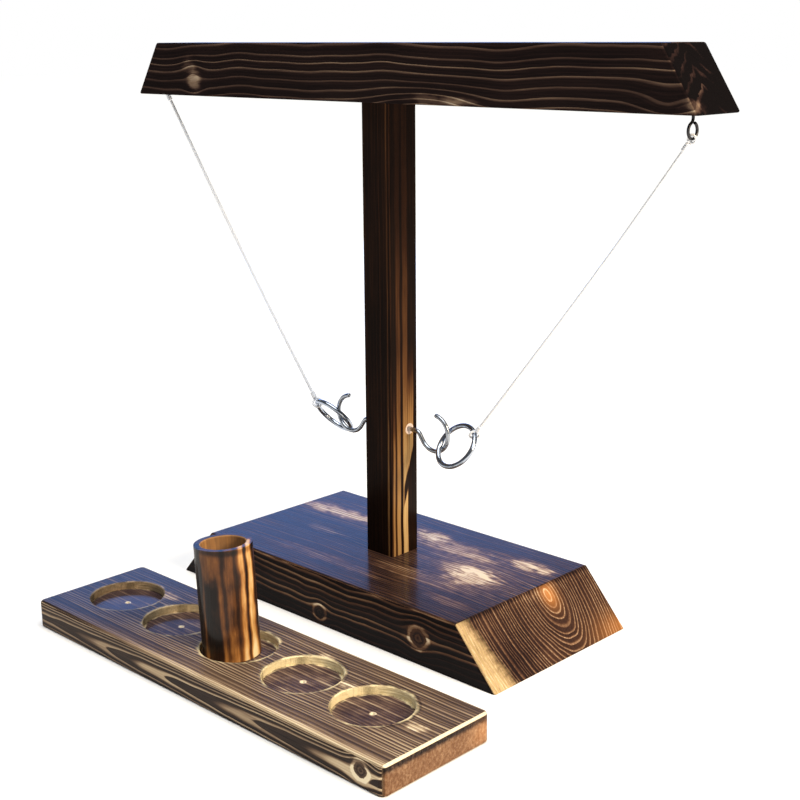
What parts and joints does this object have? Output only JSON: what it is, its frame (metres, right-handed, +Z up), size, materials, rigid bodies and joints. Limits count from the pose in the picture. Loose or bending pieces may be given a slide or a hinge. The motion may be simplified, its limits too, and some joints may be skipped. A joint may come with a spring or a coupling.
{
  "type": "ring toss set",
  "caption": "Tabletop ring toss stand: wooden base, post and crossbar, metal rings on strings that catch on screw hooks, with a separate recessed drinks board and a small wooden cup.",
  "frame": {"origin": "the centre of the base block's underside, on the table", "axes": "+X along the crossbar towards the right screw eye, -Y towards the drinks board in front, +Z up"},
  "size_m": [0.5054, 0.275, 0.395],
  "materials": {
    "base_wood": "clear gloss over torched and brushed grain",
    "post_wood": "clear gloss over torched and brushed grain",
    "bar_wood": "clear gloss over torched and brushed grain",
    "board_wood": "clear gloss over torched and brushed grain",
    "cup_wood": "clear gloss over torched and brushed grain",
    "screw_steel": "satin zinc",
    "hook_zinc": "bright zinc plating",
    "eye_zinc": "bright zinc plating",
    "ring_chrome": "polished plating",
    "white_string": "matte twisted cord"
  },
  "bodies": {
    "stand": {"base_block": "base_wood", "post": "post_wood", "crossbar": "bar_wood", "base_screws": "screw_steel", "crossbar_screws": "screw_steel", "left_screw_hook": "hook_zinc", "right_screw_hook": "hook_zinc", "left_screw_eye": "eye_zinc", "right_screw_eye": "eye_zinc"},
    "left_tether": {"left_string": "white_string", "left_eye_knot": "white_string", "left_ring_knot": "white_string", "left_ring": "ring_chrome"},
    "right_tether": {"right_string": "white_string", "right_eye_knot": "white_string", "right_ring_knot": "white_string", "right_ring": "ring_chrome"},
    "board": {"shot_board": "board_wood"},
    "cup": {"wooden_cup": "cup_wood"}
  },
  "joints": [
    {"name": "right_swing", "type": "hinge", "parent": "stand", "child": "right_tether", "pos_m": [0.2365, 0.001, 0.3424], "axis": [0, 1, 0], "range_deg": [0, 8]},
    {"name": "left_swing", "type": "hinge", "parent": "stand", "child": "left_tether", "pos_m": [-0.231, -0.01, 0.3586], "axis": [0, -1, 0], "range_deg": [0, 7.2]},
    {"name": "board_lift", "type": "slide", "parent": "stand", "child": "board", "axis": [0, 0, 1], "range_m": [0, 0.12]},
    {"name": "cup_lift", "type": "slide", "parent": "board", "child": "cup", "axis": [0, 0, 1], "range_m": [0, 0.1]}
  ]
}
